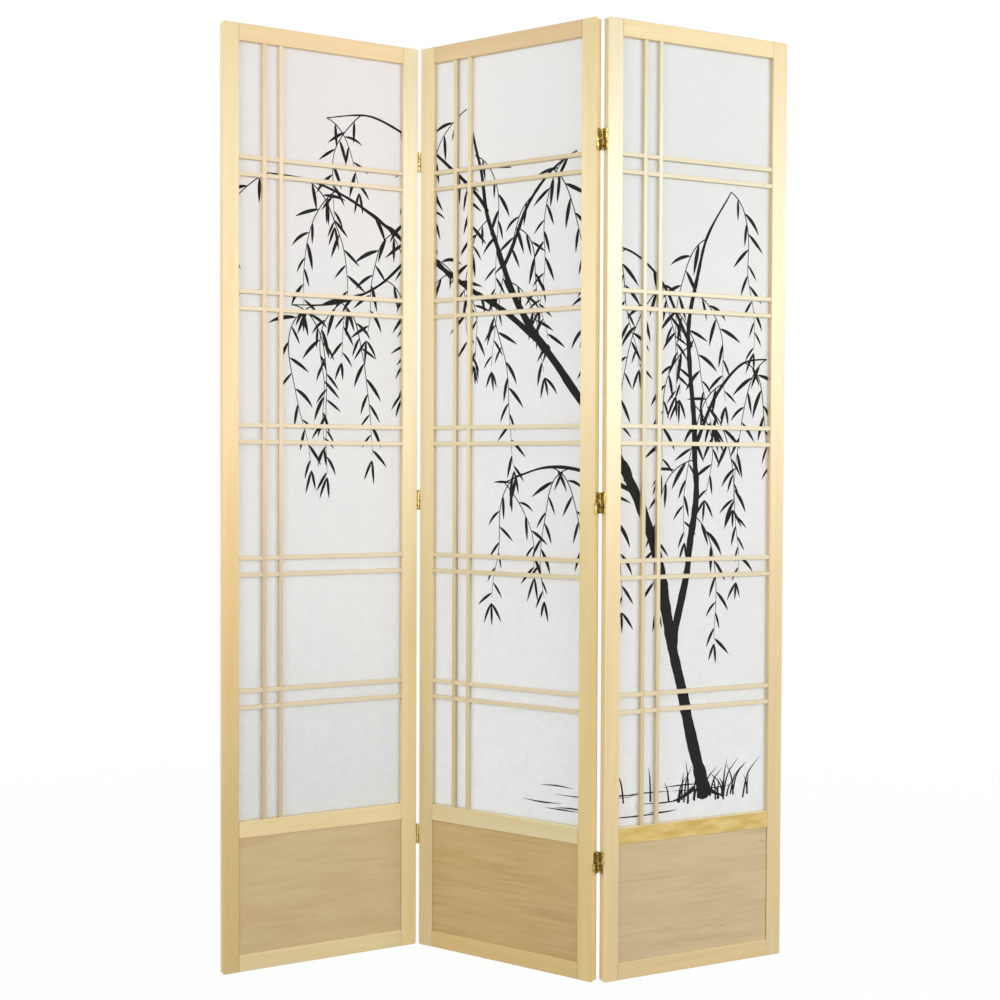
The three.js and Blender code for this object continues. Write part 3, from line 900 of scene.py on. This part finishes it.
# Each bough, how many twigs hang from it and the longest of them.
boughs = (
    ([(1.150, 0.72, 0.021), (1.166, 0.86, 0.018), (1.195, 1.02, 0.016), (1.205, 1.18, 0.014),
      (1.186, 1.34, 0.012), (1.190, 1.50, 0.010), (1.225, 1.66, 0.007),
      (1.290, 1.78, 0.003)], 7, 0.40),
    ([(0.830, 1.41, 0.015), (0.730, 1.49, 0.013), (0.600, 1.57, 0.011), (0.470, 1.66, 0.009),
      (0.340, 1.75, 0.007), (0.220, 1.80, 0.005), (0.110, 1.81, 0.003)], 8, 0.46),
    ([(0.664, 1.735, 0.009), (0.580, 1.83, 0.008), (0.470, 1.92, 0.006),
      (0.360, 1.965, 0.005), (0.250, 1.95, 0.002)], 5, 0.32),
    ([(0.706, 1.605, 0.010), (0.760, 1.72, 0.008), (0.830, 1.81, 0.006),
      (0.905, 1.85, 0.003)], 4, 0.44),
    ([(1.203, 1.205, 0.010), (1.260, 1.31, 0.008), (1.325, 1.385, 0.006),
      (1.395, 1.40, 0.003)], 4, 0.46),
    ([(1.187, 1.42, 0.009), (1.125, 1.54, 0.007), (1.045, 1.62, 0.005),
      (0.965, 1.64, 0.003)], 5, 0.44),
    ([(0.470, 1.66, 0.008), (0.385, 1.575, 0.006), (0.280, 1.525, 0.005),
      (0.165, 1.515, 0.002)], 5, 0.48),
    ([(1.040, 1.090, 0.011), (0.930, 1.135, 0.009), (0.820, 1.145, 0.006),
      (0.715, 1.11, 0.003)], 5, 0.36),
)
brushed(trunk, ragged=0.10, sway=0.012)
for bough, twigs, longest in boughs:
    along = brushed(bough, ragged=0.12, sway=0.010)
    for number in range(twigs):
        share = 0.30 + 0.70 * number / (twigs - 1)
        x, z, _ = along[round(share * (len(along) - 1))]
        twig(x, z, -1 if number % 2 else 1, longest * brush.uniform(0.6, 1.0))
crown_twigs, crown_longest = 4, 0.40
for number in range(crown_twigs):
    x, z, _ = trunk[-1 - number]
    twig(x, z, 1 if number % 2 else -1, crown_longest * brush.uniform(0.6, 1.0))
for root, reach in ((1.206, -0.060), (1.236, 0.055)):
    brushed([(root, 0.412, 0.012), (root + reach / 2, 0.394, 0.008), (root + reach, 0.386, 0.001)])

# Grass round the trunk's foot, and the lines of still water.
grass_blades = 34
grass_middle, grass_spread, grass_foot = 1.232, 0.072, 0.388
water_lines = 12
for _ in range(grass_blades):
    x = grass_middle + brush.gauss(0, grass_spread)
    z = grass_foot + brush.uniform(-0.012, 0.006)
    lean = brush.uniform(-0.6, 0.6)
    tall = brush.uniform(0.035, 0.095)
    tip = (x + lean * tall, z + tall, 0.0006)
    brushed([(x, z, 0.0045), (x + 0.3 * lean * tall, z + 0.6 * tall, 0.0036), tip])
for _ in range(water_lines):
    x = brush.uniform(0.80, 1.36)
    z = brush.uniform(0.362, 0.425)
    wide = brush.uniform(0.06, 0.19)
    lift = brush.uniform(-0.004, 0.004)
    brushed([(x - wide / 2, z, 0.0006), (x, z + lift, 0.0034), (x + wide / 2, z, 0.0006)])


def black_ink(name):
    """Brushed carbon ink, dried matt: near black, a little paler and duller where the brush
    ran dry, in patches 17 mm wide."""
    material, tree, shader = new_material(name, IOR=1.45, Specular_IOR_Level=0.2)
    place = add_node(tree, "ShaderNodeTexCoord").outputs["Object"]
    pool = [("Vector", place), ("Scale", 60.0), ("Detail", 3.0)]
    pool = add_node(tree, "ShaderNodeTexNoise", pool).outputs[0]
    tone = [("Factor", pool), (6, linear("#1A1A1A")), (7, linear("#262625"))]
    tone = add_node(tree, "ShaderNodeMix", tone, data_type="RGBA").outputs[2]
    tree.links.new(tone, shader.inputs["Base Color"])
    matt = [("Value", pool), ("To Min", 0.75), ("To Max", 0.95)]
    matt = add_node(tree, "ShaderNodeMapRange", matt).outputs[0]
    tree.links.new(matt, shader.inputs["Roughness"])
    return material


# Films that cross lie at different heights, so that no two faces share a plane.
film_height = 0.00004
film_step = 0.00001
film_levels = 6
film_sunk = 0.00001
ink_margin = 0.004

ink = black_ink("black ink")
for number, panel in enumerate(panels):
    shape = bmesh.new()
    start = number * panel_step
    left = start + opening_left - ink_margin
    right = start + opening_right + ink_margin
    for layer, pairs in enumerate(strokes):
        if all(x < left for pair in pairs for x, _ in pair):
            continue
        if all(x > right for pair in pairs for x, _ in pair):
            continue
        height = film_height + film_step * (layer % film_levels)
        rows = []
        for pair in pairs:
            rows.append([shape.verts.new((x - start, -height, z)) for x, z in pair])
        for low, high in zip(rows, rows[1:]):
            shape.faces.new((low[0], low[1], high[1], high[0]))
    for outward, spot in (
        ((-1, 0, 0), (left - start, 0, 0)), ((1, 0, 0), (right - start, 0, 0)),
        ((0, 0, 1), (0, 0, lattice_high + ink_margin)),
        ((0, 0, -1), (0, 0, lattice_low - ink_margin)),
    ):
        everything = shape.verts[:] + shape.edges[:] + shape.faces[:]
        bmesh.ops.bisect_plane(
            shape, geom=everything, plane_co=spot, plane_no=outward, clear_outer=True
        )
    grown = bmesh.ops.extrude_face_region(shape, geom=shape.faces[:])["geom"]
    for vertex in grown:
        if isinstance(vertex, bmesh.types.BMVert):
            vertex.co.y = 0
    for vertex in shape.verts:
        vertex.co.y += paper_front - film_sunk + paper_sag(vertex.co.x, vertex.co.z)
    bmesh.ops.recalc_face_normals(shape, faces=shape.faces)
    mesh = bpy.data.meshes.new(f"{panel}_ink")
    shape.to_mesh(mesh)
    shape.free()
    mesh.materials.append(ink)
    mesh.transform(places[panel])
    piece = bpy.data.objects.new(mesh.name, mesh)
    scene.collection.objects.link(piece)
    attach(piece, f"{panel}_panel")

# ---- Hinges --------------------------------------------------------------------------
# Three double-acting brass hinges join each pair of panels. They are stamped and rolled
# from strip, and the lacquer has let them tarnish to olive and brown in patches.


def tarnished_brass(name):
    """Rolled brass strip under worn lacquer: bright and smooth where the lacquer holds, olive
    brown and dull where it has gone. The patches of a few millimetres are true to size."""
    material, tree, shader = new_material(name, Metallic=1.0)
    place = add_node(tree, "ShaderNodeTexCoord").outputs["Object"]
    patch = [("Vector", place), ("Scale", 160.0), ("Detail", 4.0), ("Roughness", 0.6)]
    patch = add_node(tree, "ShaderNodeTexNoise", patch).outputs[0]
    share = [("Value", patch), ("From Min", 0.4), ("From Max", 0.65)]
    share = add_node(tree, "ShaderNodeMapRange", share).outputs[0]
    tone = [("Factor", share), (6, linear("#DCC67E")), (7, linear("#6C5829"))]
    tone = add_node(tree, "ShaderNodeMix", tone, data_type="RGBA").outputs[2]
    tree.links.new(tone, shader.inputs["Base Color"])
    worn = [("Value", share), ("To Min", 0.22), ("To Max", 0.5)]
    worn = add_node(tree, "ShaderNodeMapRange", worn).outputs[0]
    tree.links.new(worn, shader.inputs["Roughness"])
    return material


brass = tarnished_brass("tarnished brass strip")
edge_round = 0.00015
soft_bend = math.radians(35)
same_plane = math.radians(1)
same_spot = 0.000001
for panel, nodes in frame["record"]["behaviour"]["bodies"].items():
    for node in nodes:
        if "_hinge_" not in node:
            continue
        shape = bmesh.new()
        shape.from_mesh(frame["nodes"][node].data)
        bmesh.ops.remove_doubles(shape, verts=shape.verts[:], dist=same_spot)
        flat = {"verts": shape.verts[:], "edges": shape.edges[:]}
        bmesh.ops.dissolve_limit(shape, angle_limit=same_plane, **flat)
        sharp = [edge for edge in shape.edges if edge.calc_face_angle_signed(0) > soft_bend]
        bmesh.ops.bevel(shape, geom=sharp, offset=edge_round, segments=1, affect="EDGES")
        for face in shape.faces:
            face.smooth = True
        for edge in shape.edges:
            edge.smooth = abs(edge.calc_face_angle(0)) < soft_bend
        mesh = bpy.data.meshes.new(f"{node}_strip")
        shape.to_mesh(mesh)
        shape.free()
        mesh.materials.append(brass)
        piece = bpy.data.objects.new(mesh.name, mesh)
        scene.collection.objects.link(piece)
        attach(piece, panel)
        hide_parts(node)

# ---- Hinge screws --------------------------------------------------------------------
# Two slotted brass wood screws hold each hinge leaf to its stile's edge. Their flat heads
# sit in the leaf's countersunk holes, and their slots stop at any angle.

head_radius = 0.0033
head_depth = 0.0012
head_sunk = 0.00005
head_edge = 0.0001
shank_radius = 0.0017
screw_length = 0.014
point_length = 0.003
turned_steps = 48
slot_width = 0.0007
slot_depth = 0.0006
hinges_a_joint = 3
hinge_foot = 0.242
hinge_pitch = 0.801
screw_spacing = 0.026
lower_screw = 0.011
stile_middle = 0.0095
leaf_face = 0.0015

shape = bmesh.new()
profile = [(head_sunk, 0), (head_sunk, head_radius - head_edge)]
profile += [(head_sunk + head_edge, head_radius), (head_depth, shank_radius)]
profile += [(screw_length - point_length, shank_radius), (screw_length, 0)]
wires = [shape.verts.new((x, radius, 0)) for x, radius in profile]
wires += [shape.edges.new(ends) for ends in zip(wires, wires[1:])]
bmesh.ops.spin(
    shape, geom=wires, cent=(0, 0, 0), axis=(1, 0, 0), steps=turned_steps, angle=math.tau,
    use_merge=True,
)
bmesh.ops.remove_doubles(shape, verts=shape.verts[:], dist=same_spot)
bmesh.ops.recalc_face_normals(shape, faces=shape.faces)
blank_mesh = bpy.data.meshes.new("screw blank")
shape.to_mesh(blank_mesh)
shape.free()
shape = bmesh.new()
bmesh.ops.create_cube(shape, size=1)
bmesh.ops.scale(shape, vec=(2 * slot_depth, 3 * head_radius, slot_width), verts=shape.verts[:])
slot_mesh = bpy.data.meshes.new("screw slot")
shape.to_mesh(slot_mesh)
shape.free()
blank = bpy.data.objects.new("screw blank", blank_mesh)
slot = bpy.data.objects.new("screw slot", slot_mesh)
for thing in (blank, slot):
    scene.collection.objects.link(thing)
cut = blank.modifiers.new("slot", "BOOLEAN")
cut.operation = "DIFFERENCE"
cut.object = slot
evaluated = blank.evaluated_get(bpy.context.evaluated_depsgraph_get())
screw_shape = bpy.data.meshes.new_from_object(evaluated)
for thing in (blank, slot):
    bpy.data.objects.remove(thing)

screw_tree = repeat_tree("screws in pairs", False)
leaves = (
    ("left_hinge_left_leaf_screws", "left", True),
    ("left_hinge_right_leaf_screws", "centre", False),
    ("right_hinge_left_leaf_screws", "centre", True),
    ("right_hinge_right_leaf_screws", "right", False),
)
screws_seed = 23
for number, (name, panel, at_right_edge) in enumerate(leaves):
    sizes = {"Pairs": hinges_a_joint, "Pair Pitch": hinge_pitch, "Spacing": screw_spacing}
    sizes["Seed"] = screws_seed + number
    sizes["Turn"] = (math.pi, 0, 0)
    sizes["Material"] = brass
    mesh = grown_mesh(screw_shape, screw_tree, sizes, name)
    if at_right_edge:
        mesh.transform(Matrix.Rotation(math.pi, 4, "Z"))
    edge = panel_width + leaf_face if at_right_edge else -leaf_face
    mesh.transform(Matrix.Translation((edge, stile_middle, hinge_foot + lower_screw)))
    mesh.transform(places[panel])
    piece = bpy.data.objects.new(name, mesh)
    scene.collection.objects.link(piece)
    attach(piece, f"{panel}_panel")

# ---- Boxes ---------------------------------------------------------------------------
# The model's box in CAD and with its looks, both at rest, in metres.

visual_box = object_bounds()
sizes = {
    "cad": [list(corner) for corner in cad_box],
    "visual": [list(corner) for corner in visual_box],
}
